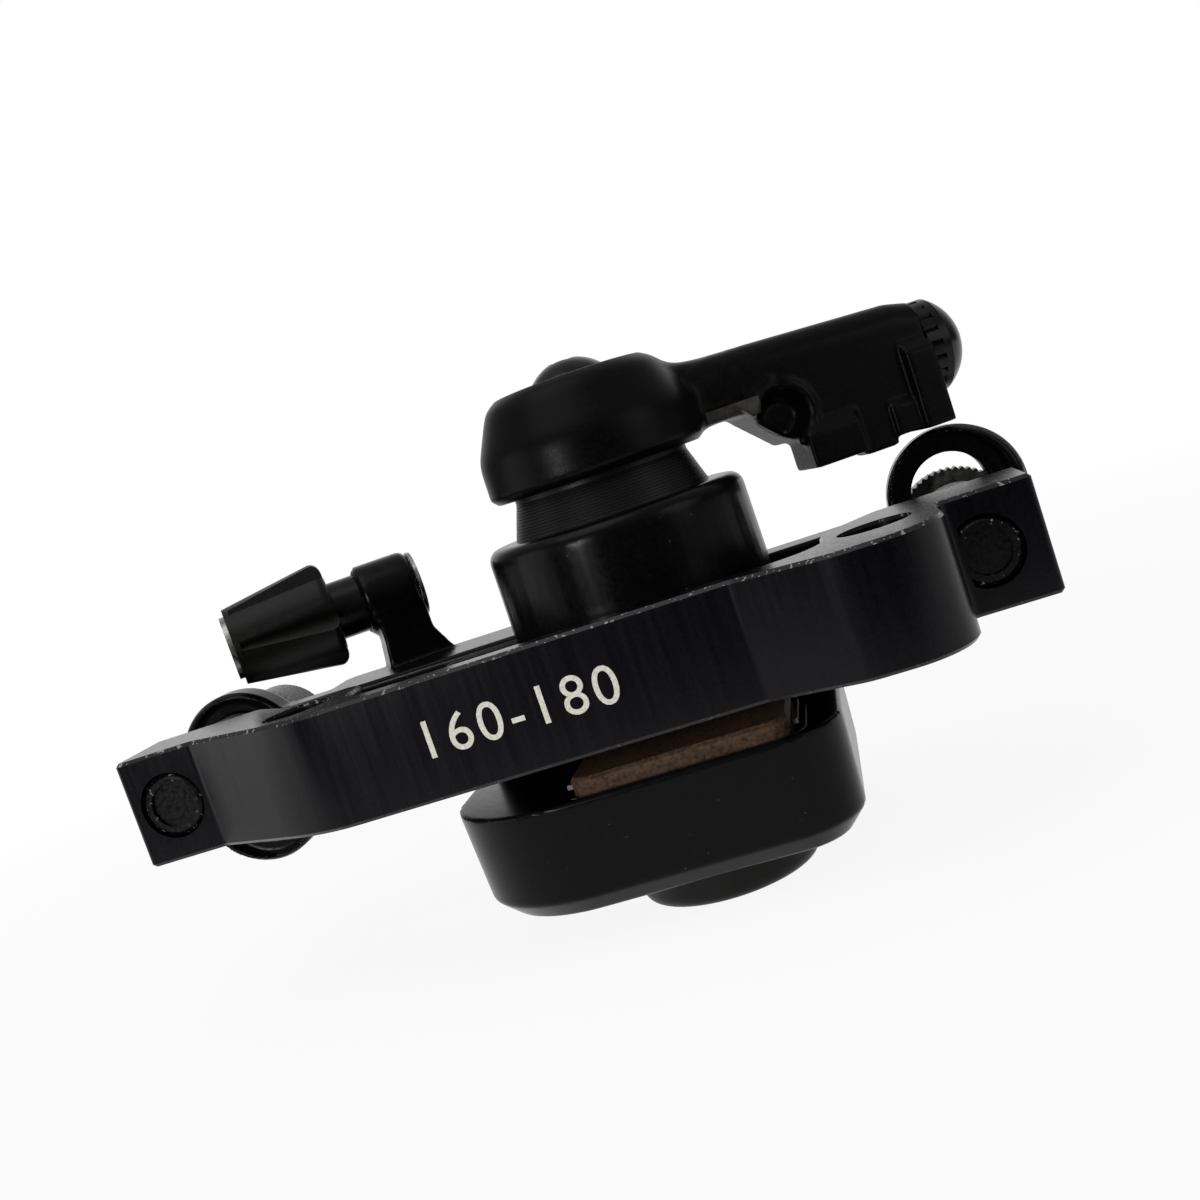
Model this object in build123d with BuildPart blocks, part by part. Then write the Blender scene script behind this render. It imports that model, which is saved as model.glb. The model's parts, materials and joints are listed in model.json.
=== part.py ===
from build123d import *
import os
from math import cos, radians, sin, sqrt

# Cable-operated disc brake caliper on its post-mount bracket, in millimetres.
# The origin is on the actuator's axis in the rotor's mid-plane, +Z points to the lever,
# +X along the line of the mounting bolts and +Y away from the wheel's hub.

os.makedirs("parts", exist_ok=True)

# General clearances
cut_over = 1.0
run_gap = 0.1
thread_gap = 0.03
seat_gap = 0.05

# Mounting pattern
post_spacing = 74.0
post_left_x = -45.1
post_right_x = post_left_x + post_spacing
post_bolt_r = 3.0
frame_spacing = 51.0
frame_hole_r = 3.1
frame_left_x = -30.0
frame_right_x = frame_left_x + frame_spacing
frame_hole_y = -10.0

# Bracket plate
plate_bottom = 1.7
plate_thick = 10.0
plate_mid = plate_bottom + plate_thick / 2
post_block_half = 4.1
post_right_half = 4.9
post_near_y = -8.0
post_far_y = 1.0
band_y = -14.6
band_x = -31.5
face_y = -16.2
face_left_x = -27.5
face_right_x = 9.2
lug_y = -19.9
lug_left_x = 17.2
lug_right_x = 26.1
lug_r = 5.5
block_step_x = -41.6
pocket_left_x = -25.0
pocket_right_x = 16.5
pocket_wall = 2.8
shoulder_y = -5.0
shoulder_x = -33.0
block_far_x = -38.0
right_far_x = 21.4
right_slope_y = -4.0
corner_r = 0.5
edge_r = 0.3
soft_r = 10.0
softer_r = 20.0
pocket_r = 4.0
crease_r = 1.0
step_r = 1.0
shoulder_r = 2.2

# Mounting bolts and their washers
bolt_head_r = 5.0
bolt_head_high = 6.0
bolt_socket_across = 5.0
bolt_socket_deep = 3.2
bolt_edge = 0.5
bolt_tip_ring_r = 2.5
bolt_tip_ring_deep = 0.4
knurl_r = 5.6
knurl_thick = 1.6
knurl_ring_r = 5.0
knurl_ring_high = 0.4
knurl_count = 54
knurl_deep = 0.18
washer_r = 4.5
washer_bore_gap = 0.2
washer_bore_r = post_bolt_r + washer_bore_gap
washer_dish_r = 9.0
cup_rim_y = 5.6

# Ears of the outer housing
ear_near_y = 8.5
ear_thick = 5.0
ear_far_y = ear_near_y + ear_thick
ear_r = 6.4
ear_reach = 2.5
ear_left_z = 4.4
ear_right_z = 7.5
ear_shift = 0.5
ear_round = 1.2
slot_room = 0.6
slot_half = post_bolt_r + slot_room
slot_reach = 3.0
dish_r = 5.1
dish_deep = 0.8
dish_edge = 0.5
arm_bottom = 3.2
arm_top = 10.2
arm_block_left_x = -36.0
arm_block_near_y = 9.5
arm_block_far_y = 19.0
arm_block_edge = 1.5

# Caliper body
pad_pocket_r = 10.7
pad_corner_r = 2.0
front_wall = 1.3
body_r = pad_pocket_r + front_wall
body_left_x = -10.1
body_right_x = 2.0
body_nose_r = 6.0
body_corner_r = 4.0
slot_low = -2.4
slot_high = 2.3
bridge_gap = 1.8
bridge_near_y = pad_pocket_r + bridge_gap
bridge_deep = 8.5
body_far_y = bridge_near_y + bridge_deep
base_top = 9.0
base_edge = 0.8
bore_r = 9.6
bore_top = 16.8
barrel_wall = 2.15
barrel_flare = 0.1
barrel_r = bore_r + barrel_wall
barrel_root_r = barrel_r + barrel_flare
barrel_top = 19.0
barrel_edge = 1.2
body_bolt_xs = (-15.3, 7.6)
body_bolt_inset = 3.0
body_bolt_y = bridge_near_y + body_bolt_inset
body_bolt_r = 2.0
body_bolt_head_r = 3.6
body_bolt_head_high = 3.4
body_bolt_sink = 4.0
body_bolt_deep = 5.5
body_bolt_socket = 3.0
body_bolt_socket_deep = 2.2

# Pads
pad_room = 0.4
pad_r = pad_pocket_r - pad_room
lining_inset = 0.6
lining_r = pad_r - lining_inset
lining_near = 1.2
lining_thick = 2.1
plate_pad_thick = 1.4
lining_edge = 0.3
outer_plate_low = lining_near + lining_thick
piston_low = outer_plate_low + plate_pad_thick
pad_pocket_over = 0.3
pad_pocket_top = piston_low + pad_pocket_over

# Pad spring
clip_thick = 0.4
clip_gap = 0.1
clip_in_r = lining_r + clip_gap
clip_wide = 0.5
clip_out_r = clip_in_r + clip_wide
clip_upper_z = 1.3
clip_lower_z = -2.4
clip_open_y = -7.5
clip_joint_deep = 0.1
clip_joint_y = clip_in_r - clip_joint_deep

# Inner half
inner_rim_z = -10.7
inner_bottom = -12.5
inner_draft = 3.0
inner_slope = 45.0
inner_pocket_bottom = -7.6
screw_stem_r = 5.0
screw_hole_r = screw_stem_r + run_gap
dial_r = 8.3
dial_top = -12.7
dial_bottom = -15.5
dial_edge = 1.1
dial_stem_r = 2.4
dial_stem_top = -8.6
dial_hex = 5.0
dial_hex_deep = 1.4
dial_ring_z = -10.2
dial_ring_half = 0.5
dial_ring_deep = 0.6
screw_foot_top = -piston_low
screw_foot_thick = 1.6
screw_foot_r = 7.5
screw_bottom = -12.0
screw_socket_r = dial_stem_r + run_gap
screw_socket_top = -7.6

# Actuator
shaft_r = 5.0
shaft_neck_z = 23.8
shaft_neck_r = 3.9
shaft_top = 30.6
ramp_gap = 0.5
flange_r = bore_r - ramp_gap
flange_bottom = 13.9
flange_top = 16.1
thrust_gap = 0.8
thrust_r = bore_r - thrust_gap
ball_r = 1.65
ball_ring_r = 7.0
ball_count = 3
ball_z = 12.55
groove_gap = 0.1
cage_half = 0.6
cage_in_r = 5.0
cage_out_r = bore_r - ramp_gap
ramp_plate_top = 11.2
ramp_plate_r = bore_r - ramp_gap
piston_top = 9.2
piston_fit = 0.08
piston_skirt_r = 6.6
piston_hollow_z = 6.6
bush_wall = 1.35
bush_out_r = shaft_r + bush_wall
seal_wall = 1.9
seal_out_r = shaft_r + seal_wall
seal_low = 19.1
seal_thick = 1.2

# Dust collar
collar_low_r = 8.95
collar_high_r = 7.9
collar_slope_top = 22.1
collar_top = 23.0
collar_bore_gap = 0.4
collar_bore_r = shaft_r + collar_bore_gap
collar_seal_r = seal_out_r + run_gap
collar_seal_top = 20.4
collar_lines = 11
collar_line_deep = 0.035

# Return spring
spring_wire = 1.1
spring_r = 6.9
spring_low = 23.1
spring_high = 28.4
spring_turns = 2.5

# Lever head and arm
lever_turn = 20.0
lip_bottom = 22.5
lip_in_r = 8.4
lip_out_r = 9.3
head_r = 9.9
head_low = 23.1
head_high = 26.3
shoulder_low_r = 7.9
shoulder_top_r = 6.9
shoulder_low_z = 30.6
head_top = 31.2
hub_r = 5.4
hub_bottom = 24.0
cavity_top = 28.5
neck_root = 5.0
neck_root_z = 30.0
neck_top_s = 11.0
neck_top_z = 29.2
arm_end_s = 28.9
arm_end_z = 28.5
tip_s = 31.1
tip_top_z = 28.0
arm_low_z = 19.5
neck_low_z = 23.2
neck_low_s = 9.0
slope_s = 13.4
block_s = 17.2
arm_half = 4.0
arm_soft = 2.2
neck_bevel = 1.3
foot_start_s = 17.5
foot_end_s = 22.6
foot_low_z = 16.7
foot_top_z = 20.6
foot_bevel = 0.9
foot_side_near = -5.0
foot_side_far = 0.6
tab_end_s = 25.8
tab_low_z = 16.3
tab_side_near = -4.0
tab_side_far = -1.4
rib_end_s = 28.3
rib_low_z = 17.0
rib_side_near = -4.5
rib_side_far = 2.4
flange_low_z = 16.8
flange_top_z = 24.6
flange_side_near = -5.1
scoop_s = 16.4
scoop_z = 22.0
scoop_r = 2.2
scoop_deep = 1.0
lever_bolt_r = 3.5
lever_bolt_shank_r = 2.0
lever_bolt_deep = 6.0
lever_bolt_high = 1.7
lever_bolt_socket = 2.5
lever_bolt_socket_deep = 1.0

# Cable anchor at the arm's end
anchor_z = 23.7
anchor_thread_r = 2.5
anchor_thread_deep = 6.0
anchor_washer_r = 4.3
anchor_washer_thick = 1.3
anchor_washer_teeth = 20
anchor_tooth_deep = 0.2
anchor_head_r = 4.3
anchor_head_high = 3.2
anchor_head_straight = 0.7
anchor_socket = 4.0
anchor_socket_deep = 2.0

# Cable stop and adjuster, along their own axis
stop_turn = 25.0
stop_x = -38.1
stop_y = 12.0
stop_z = 17.6
stop_thread_r = 3.0
boss_wall = 0.7
boss_r = stop_thread_r + boss_wall
boss_edge = 0.6
boss_start = 8.3
boss_end = 14.4
stop_ring_end = 14.75
stop_ring_wall = 0.35
stop_ring_r = stop_thread_r + stop_ring_wall
stop_arm_left = 9.2
stop_arm_foot_left = 8.6
stop_arm_foot_right = 17.0
stop_arm_waist_z = 13.0
stop_arm_foot_z = 8.0
stop_arm_near = 3.0
stop_arm_far = 1.8
knob_start = -5.0
knob_end = 5.5
knob_thin_r = 3.95
knob_wide_r = 5.55
knob_round = 0.9
knob_lobes = 6
knob_groove_start = 0.6
knob_groove_thin = 0.35
knob_groove_wide = 1.7
knob_groove_deep = 1.5
barrel_bore_r = 1.3
barrel_head_wall = 0.4
barrel_head_r = stop_thread_r + barrel_head_wall
barrel_head_start = -0.5
ferrule_start = -5.5
ferrule_lip_end = -4.9
ferrule_bore_r = 2.55
ferrule_wall = 0.5
ferrule_r = ferrule_bore_r + ferrule_wall
ferrule_lip = 0.2
ferrule_lip_r = ferrule_r + ferrule_lip
ferrule_floor = 0.7

stop_dir = Vector(cos(radians(stop_turn)), sin(radians(stop_turn)), 0)
stop_side = Vector(sin(radians(stop_turn)), -cos(radians(stop_turn)), 0)
lever_dir = Vector(cos(radians(lever_turn)), sin(radians(lever_turn)), 0)
lever_side = Vector(sin(radians(lever_turn)), -cos(radians(lever_turn)), 0)

stop_origin = Vector(stop_x, stop_y, stop_z)
stop_plane = Plane(origin=stop_origin, x_dir=stop_dir, z_dir=stop_side)
stop_axis = Axis(stop_origin, stop_dir)
lever_plane = Plane(origin=(0, 0, 0), x_dir=lever_dir, z_dir=lever_side)
anchor_axis = Axis(Vector(0, 0, anchor_z), lever_dir)
post_xs = (post_left_x, post_right_x)


def outline(plane, points):
    """A closed face through straight-sided points on a plane."""
    with BuildSketch(plane) as drawn:
        with BuildLine():
            Polyline(*points, close=True)
        make_face()
    return drawn.sketch


def turned(points):
    """A section for revolving about Z, as (radius, height) points."""
    return outline(Plane.XZ, points)


def along_stop(points):
    """A section on the adjuster's plane, as (distance along, height above) points."""
    return outline(stop_plane, points)


def across_y(x, y, z):
    """A plane square to Y, looking along +Y, with +X as its first direction."""
    return Plane(origin=(x, y, z), x_dir=(1, 0, 0), z_dir=(0, 1, 0))


def pad_shape(plane, size_r):
    """Plan of a pad or its pocket: round behind, squared towards the hub."""
    with BuildSketch(plane) as plan:
        Circle(size_r)
        with Locations((0, -size_r / 2)):
            Rectangle(2 * size_r, size_r)
        fillet(plan.vertices().group_by(Axis.Y)[0], radius=pad_corner_r)
    return plan.sketch


def save(builder, name):
    """Names a finished piece and writes its file."""
    builder.part.label = name
    export_step(builder.part, "parts/" + name + ".step")


# Mounting bracket: a flat plate with two post blocks, a lug and a pocket for the caliper
pocket_near_y = face_y + pocket_wall
bracket_points = [
    (post_left_x - post_block_half, post_near_y),
    (block_step_x, post_near_y),
    (band_x, band_y),
    (face_left_x, face_y),
    (face_right_x, face_y),
    (lug_left_x, lug_y),
    (lug_right_x, lug_y),
    (lug_right_x, post_near_y),
    (post_right_x + post_right_half, post_near_y),
    (post_right_x + post_right_half, post_far_y),
    (right_far_x, post_far_y),
    (pocket_right_x, right_slope_y),
    (pocket_right_x, pocket_near_y),
    (pocket_left_x, pocket_near_y),
    (pocket_left_x, shoulder_y),
    (shoulder_x, shoulder_y),
    (block_far_x, post_far_y),
    (post_left_x - post_block_half, post_far_y),
]
bracket_radii = [
    corner_r,
    step_r,
    softer_r,
    soft_r,
    crease_r,
    lug_r,
    lug_r,
    step_r,
    corner_r,
    corner_r,
    step_r,
    shoulder_r,
    pocket_r,
    pocket_r,
    shoulder_r,
    shoulder_r,
    shoulder_r,
    corner_r,
]
with BuildPart() as mount_bracket:
    with BuildSketch(Plane.XY.offset(plate_bottom)):
        with BuildLine():
            FilletPolyline(*bracket_points, radius=bracket_radii, close=True)
        make_face()
    extrude(amount=plate_thick)
    rims = mount_bracket.faces().filter_by(Axis.Z).edges()
    chamfer(rims, length=edge_r)
    for frame_x in (frame_left_x, frame_right_x):
        with BuildSketch(Plane(origin=(frame_x, frame_hole_y, plate_bottom))):
            Circle(frame_hole_r)
        extrude(amount=plate_thick, mode=Mode.SUBTRACT)
    for post_x in post_xs:
        with BuildSketch(across_y(post_x, post_near_y, plate_mid)):
            Circle(post_bolt_r + thread_gap)
        extrude(amount=post_far_y - post_near_y, mode=Mode.SUBTRACT)
save(mount_bracket, "mount_bracket")

# Mounting bolts: socket heads at the far side, tips flush with the blocks' near faces
knurl_far_y = ear_far_y + knurl_thick + knurl_ring_high
head_far_y = knurl_far_y + bolt_head_high
with BuildPart() as mounting_bolts:
    for post_x in post_xs:
        bolt_plane = Plane(origin=(post_x, 0, plate_mid), x_dir=(1, 0, 0), z_dir=(0, 0, 1))
        bolt_section = outline(
            bolt_plane,
            [
                (0, post_near_y + bolt_tip_ring_deep),
                (bolt_tip_ring_r - bolt_edge, post_near_y + bolt_tip_ring_deep),
                (bolt_tip_ring_r - bolt_edge, post_near_y),
                (bolt_tip_ring_r, post_near_y),
                (post_bolt_r, post_near_y + bolt_edge),
                (post_bolt_r, knurl_far_y),
                (bolt_head_r, knurl_far_y),
                (bolt_head_r, head_far_y - bolt_edge),
                (bolt_head_r - bolt_edge, head_far_y),
                (0, head_far_y),
            ],
        )
        revolve(bolt_section, axis=Axis((post_x, 0, plate_mid), (0, 1, 0)))
        with BuildSketch(across_y(post_x, head_far_y - bolt_socket_deep, plate_mid)):
            RegularPolygon(bolt_socket_across / 2, 6, major_radius=False)
        extrude(amount=bolt_socket_deep, mode=Mode.SUBTRACT)
save(mounting_bolts, "mounting_bolts")

# Cup and cone washers: a dished pair that lets the caliper tilt before it is tightened
dish_y = ear_near_y + dish_deep
dish_rim = sqrt(washer_dish_r**2 - washer_r**2)
dish_mouth = sqrt(washer_dish_r**2 - washer_bore_r**2)
cup_mouth_y = cup_rim_y - (dish_mouth - dish_rim)
washer_mid_r = (washer_r + washer_bore_r) / 2
cup_mid_y = cup_rim_y - (sqrt(washer_dish_r**2 - washer_mid_r**2) - dish_rim)
with BuildPart() as cup_washers:
    for post_x in post_xs:
        bolt_plane = Plane(origin=(post_x, 0, plate_mid), x_dir=(1, 0, 0), z_dir=(0, 0, 1))
        with BuildSketch(bolt_plane) as cup_section:
            with BuildLine():
                Line((washer_bore_r, post_far_y), (washer_r, post_far_y))
                Line((washer_r, post_far_y), (washer_r, cup_rim_y))
                ThreePointArc(
                    (washer_r, cup_rim_y), (washer_mid_r, cup_mid_y), (washer_bore_r, cup_mouth_y)
                )
                Line((washer_bore_r, cup_mouth_y), (washer_bore_r, post_far_y))
            make_face()
        revolve(axis=Axis((post_x, 0, plate_mid), (0, 1, 0)))
save(cup_washers, "cup_washers")

with BuildPart() as cone_washers:
    for post_x in post_xs:
        bolt_plane = Plane(
            origin=(post_x, seat_gap, plate_mid), x_dir=(1, 0, 0), z_dir=(0, 0, 1)
        )
        with BuildSketch(bolt_plane) as cone_section:
            with BuildLine():
                Line((washer_bore_r, dish_y - seat_gap), (washer_r, dish_y - seat_gap))
                Line((washer_r, dish_y - seat_gap), (washer_r, cup_rim_y))
                ThreePointArc(
                    (washer_r, cup_rim_y), (washer_mid_r, cup_mid_y), (washer_bore_r, cup_mouth_y)
                )
                Line((washer_bore_r, cup_mouth_y), (washer_bore_r, dish_y - seat_gap))
            make_face()
        revolve(axis=Axis((post_x, 0, plate_mid), (0, 1, 0)))
save(cone_washers, "cone_washers")

# Knurled washers under the bolt heads, each with a raised ring for the head
with BuildPart() as knurled_washers:
    for post_x in post_xs:
        with BuildSketch(across_y(post_x, ear_far_y, plate_mid)):
            Circle(knurl_r)
            with PolarLocations(knurl_r, knurl_count):
                Rectangle(knurl_deep * 2, knurl_deep * 2, rotation=45, mode=Mode.SUBTRACT)
            Circle(washer_bore_r, mode=Mode.SUBTRACT)
        extrude(amount=knurl_thick)
        with BuildSketch(across_y(post_x, ear_far_y + knurl_thick, plate_mid)):
            Circle(knurl_ring_r)
            Circle(washer_bore_r, mode=Mode.SUBTRACT)
        extrude(amount=knurl_ring_high)
save(knurled_washers, "knurled_washers")

# Outer housing: base, bridge, barrel, two slotted ears and the cable stop arm
body_mid_x = (body_left_x + body_right_x) / 2
body_span = body_right_x - body_left_x
body_low_x = body_left_x - body_r
body_high_x = body_right_x + body_r


def body_plan(plane):
    """Plan of both halves: a large nose at the left, a small one at the right."""
    corners = [
        (body_low_x, -body_r),
        (body_high_x, -body_r),
        (body_high_x, body_far_y),
        (body_low_x, body_far_y),
    ]
    radii = [body_r, body_nose_r, body_corner_r, body_corner_r]
    with BuildSketch(plane) as plan:
        with BuildLine():
            FilletPolyline(*corners, radius=radii, close=True)
        make_face()
    return plan.sketch


ear_places = ((post_left_x, ear_left_z, -ear_shift), (post_right_x, ear_right_z, ear_shift))


def ear_form(x, z):
    """One ear's outer form, rounded towards the hub and away from it."""
    with BuildPart(mode=Mode.PRIVATE) as ear:
        with BuildSketch(across_y(x, ear_near_y, z)):
            SlotCenterToCenter(2 * ear_reach, 2 * ear_r, rotation=90)
        extrude(amount=ear_thick)
        fillet(ear.faces().filter_by(Axis.Y).edges(), radius=ear_round)
    return ear.part


with BuildPart() as outer_housing:
    extrude(body_plan(Plane.XY.offset(slot_high)), amount=base_top - slot_high)
    base_rim = outer_housing.faces().sort_by(Axis.Z)[-1].edges()
    fillet(base_rim, radius=base_edge)
    revolve(
        turned(
            [
                (0, base_top - base_edge),
                (barrel_root_r, base_top - base_edge),
                (barrel_r, barrel_top),
                (0, barrel_top),
            ]
        ),
        axis=Axis.Z,
    )
    fillet(outer_housing.faces().sort_by(Axis.Z)[-1].edges(), radius=barrel_edge)
    with BuildSketch(Plane.XY.offset(slot_low)):
        with Locations((body_mid_x, (bridge_near_y + body_far_y) / 2)):
            RectangleRounded(
                body_high_x - body_low_x, body_far_y - bridge_near_y, edge_r
            )
    extrude(amount=slot_high - slot_low)
    arm_mid_z = (arm_bottom + arm_top) / 2
    arm_high = arm_top - arm_bottom
    with BuildSketch(across_y(0, ear_near_y, arm_mid_z)):
        with Locations(((post_left_x + body_left_x) / 2, 0)):
            Rectangle(body_left_x - post_left_x, arm_high)
        with Locations(((post_right_x + body_right_x) / 2, 0)):
            Rectangle(post_right_x - body_right_x, arm_high)
    extrude(amount=ear_thick)
    with BuildSketch(Plane.XY.offset(arm_bottom)):
        with Locations(
            ((arm_block_left_x + body_left_x) / 2, (arm_block_near_y + arm_block_far_y) / 2)
        ):
            RectangleRounded(
                body_left_x - arm_block_left_x,
                arm_block_far_y - arm_block_near_y,
                arm_block_edge,
            )
    extrude(amount=arm_high)
    for ear_x, ear_z, shift in ear_places:
        add(ear_form(ear_x + shift, ear_z))
    extrude(
        along_stop(
            [
                (stop_arm_left, 0),
                (boss_end, 0),
                (boss_end, stop_arm_waist_z - stop_z),
                (stop_arm_foot_right, stop_arm_foot_z - stop_z),
                (stop_arm_foot_left, stop_arm_foot_z - stop_z),
                (stop_arm_left, stop_arm_waist_z - stop_z),
            ]
        ),
        amount=stop_arm_near,
    )
    extrude(
        along_stop(
            [
                (stop_arm_left, 0),
                (boss_end, 0),
                (boss_end, stop_arm_waist_z - stop_z),
                (stop_arm_foot_right, stop_arm_foot_z - stop_z),
                (stop_arm_foot_left, stop_arm_foot_z - stop_z),
                (stop_arm_left, stop_arm_waist_z - stop_z),
            ]
        ),
        amount=-stop_arm_far,
    )
    revolve(
        along_stop(
            [
                (boss_start, 0),
                (boss_end, 0),
                (boss_end, boss_r - boss_edge),
                (boss_end - boss_edge, boss_r),
                (boss_start + boss_edge, boss_r),
                (boss_start, boss_r - boss_edge),
            ]
        ),
        axis=stop_axis,
    )
    revolve(
        along_stop(
            [
                (boss_start - cut_over, 0),
                (stop_ring_end + cut_over, 0),
                (stop_ring_end + cut_over, stop_thread_r + thread_gap),
                (boss_start - cut_over, stop_thread_r + thread_gap),
            ]
        ),
        axis=stop_axis,
        mode=Mode.SUBTRACT,
    )
    for ear_x, ear_z, shift in ear_places:
        with BuildSketch(across_y(ear_x, ear_near_y, ear_z)):
            SlotCenterToCenter(2 * slot_reach, 2 * slot_half, rotation=90)
        extrude(amount=ear_thick, mode=Mode.SUBTRACT)
        with BuildSketch(across_y(ear_x, ear_near_y, ear_z)):
            SlotCenterToCenter(2 * slot_reach, 2 * (dish_r + dish_edge), rotation=90)
        with BuildSketch(across_y(ear_x, ear_near_y + dish_deep, ear_z)):
            SlotCenterToCenter(2 * slot_reach, 2 * dish_r, rotation=90)
        loft(mode=Mode.SUBTRACT)
    extrude(
        pad_shape(Plane.XY.offset(slot_high), pad_pocket_r),
        amount=pad_pocket_top - slot_high,
        mode=Mode.SUBTRACT,
    )
    revolve(
        turned(
            [
                (0, slot_high - cut_over),
                (bore_r, slot_high - cut_over),
                (bore_r, bore_top),
                (bush_out_r, bore_top),
                (bush_out_r, barrel_top + cut_over),
                (0, barrel_top + cut_over),
            ]
        ),
        axis=Axis.Z,
        mode=Mode.SUBTRACT,
    )
    for bolt_x in body_bolt_xs:
        with BuildSketch(Plane(origin=(bolt_x, body_bolt_y, slot_low))):
            Circle(body_bolt_r + thread_gap)
        extrude(amount=slot_high - slot_low + body_bolt_deep, mode=Mode.SUBTRACT)
save(outer_housing, "outer_housing")

# Bright ring at the inner end of the stop boss
with BuildPart() as stop_ring:
    revolve(
        along_stop(
            [
                (boss_end, stop_thread_r + thread_gap),
                (stop_ring_end, stop_thread_r + thread_gap),
                (stop_ring_end, stop_ring_r),
                (boss_end, stop_ring_r),
            ]
        ),
        axis=stop_axis,
    )
save(stop_ring, "stop_ring")

# Inner housing: the lower half, with the screw's thread in its floor
with BuildPart() as inner_housing:
    extrude(
        body_plan(Plane.XY.offset(slot_low)), amount=inner_rim_z - slot_low, taper=inner_draft
    )
    rim_faces = inner_housing.faces().sort_by(Axis.Z)[0:1]
    extrude(rim_faces, amount=inner_rim_z - inner_bottom, taper=inner_slope)
    extrude(
        pad_shape(Plane.XY.offset(slot_low), pad_pocket_r),
        amount=inner_pocket_bottom - slot_low,
        mode=Mode.SUBTRACT,
    )
    with BuildSketch(Plane.XY.offset(slot_low)):
        Circle(screw_hole_r)
    extrude(amount=inner_bottom - slot_low - cut_over, mode=Mode.SUBTRACT)
    for bolt_x in body_bolt_xs:
        with BuildSketch(Plane(origin=(bolt_x, body_bolt_y, inner_bottom))):
            Circle(body_bolt_r + thread_gap)
        extrude(amount=slot_low - inner_bottom, mode=Mode.SUBTRACT)
        with BuildSketch(Plane(origin=(bolt_x, body_bolt_y, inner_bottom))):
            Circle(body_bolt_head_r + run_gap)
        extrude(amount=body_bolt_sink, mode=Mode.SUBTRACT)
save(inner_housing, "inner_housing")

# Body bolts: heads sunk in the inner half, threads in the outer one
body_bolt_seat = inner_bottom + body_bolt_sink
body_bolt_low = body_bolt_seat - body_bolt_head_high
with BuildPart() as body_bolts:
    for bolt_x in body_bolt_xs:
        with BuildSketch(Plane(origin=(bolt_x, body_bolt_y, body_bolt_low))):
            Circle(body_bolt_head_r)
        extrude(amount=body_bolt_head_high)
        with BuildSketch(Plane(origin=(bolt_x, body_bolt_y, body_bolt_seat))):
            Circle(body_bolt_r)
        extrude(amount=slot_high + body_bolt_deep - cut_over - body_bolt_seat)
        with BuildSketch(Plane(origin=(bolt_x, body_bolt_y, body_bolt_low))):
            RegularPolygon(body_bolt_socket / 2, 6, major_radius=False)
        extrude(amount=body_bolt_socket_deep, mode=Mode.SUBTRACT)
save(body_bolts, "body_bolts")

# Shaft bush and seal
with BuildPart() as shaft_bush:
    revolve(
        turned(
            [
                (shaft_r + seat_gap, bore_top),
                (bush_out_r, bore_top),
                (bush_out_r, barrel_top),
                (shaft_r + seat_gap, barrel_top),
            ]
        ),
        axis=Axis.Z,
    )
save(shaft_bush, "shaft_bush")

with BuildPart() as shaft_seal:
    revolve(
        turned(
            [
                (shaft_r + seat_gap, seal_low),
                (seal_out_r, seal_low),
                (seal_out_r, seal_low + seal_thick),
                (shaft_r + seat_gap, seal_low + seal_thick),
            ]
        ),
        axis=Axis.Z,
    )
save(shaft_seal, "shaft_seal")

# Dust collar with its fine turned lines
line_step = (collar_slope_top - barrel_top) / (collar_lines + 1)
collar_fall = (collar_low_r - collar_high_r) / (collar_slope_top - barrel_top)
with BuildPart() as dust_collar:
    revolve(
        turned(
            [
                (collar_seal_r, barrel_top),
                (collar_low_r, barrel_top),
                (collar_high_r, collar_slope_top),
                (collar_high_r, collar_top),
                (collar_bore_r, collar_top),
                (collar_bore_r, collar_seal_top),
                (collar_seal_r, collar_seal_top),
            ]
        ),
        axis=Axis.Z,
    )
    for line in range(collar_lines):
        line_z = barrel_top + line_step * (line + 1)
        line_r = collar_low_r - collar_fall * (line_z - barrel_top)
        revolve(
            turned(
                [
                    (line_r - collar_line_deep, line_z),
                    (line_r + collar_line_deep, line_z - collar_line_deep),
                    (line_r + collar_line_deep, line_z + collar_line_deep),
                ]
            ),
            axis=Axis.Z,
            mode=Mode.SUBTRACT,
        )
save(dust_collar, "dust_collar")

# Return spring between the collar and the lever's head
spring_rise = spring_high - spring_low - spring_wire
spring_pitch = spring_rise / spring_turns
spring_gap = spring_pitch - spring_wire
print("least gap of the return spring to itself", round(spring_gap, 2))
spring_path = Pos(0, 0, spring_low + spring_wire / 2) * Helix(spring_pitch, spring_rise, spring_r)
with BuildPart() as return_spring:
    with BuildSketch(Plane(origin=spring_path @ 0, z_dir=spring_path % 0)) as spring_section:
        Circle(spring_wire / 2)
    sweep(path=spring_path)
save(return_spring, "return_spring")

# Thrust washer over the shaft's flange
with BuildPart() as thrust_washer:
    revolve(
        turned(
            [
                (shaft_r + run_gap, flange_top + seat_gap),
                (thrust_r, flange_top + seat_gap),
                (thrust_r, bore_top),
                (shaft_r + run_gap, bore_top),
            ]
        ),
        axis=Axis.Z,
    )
save(thrust_washer, "thrust_washer")

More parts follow.
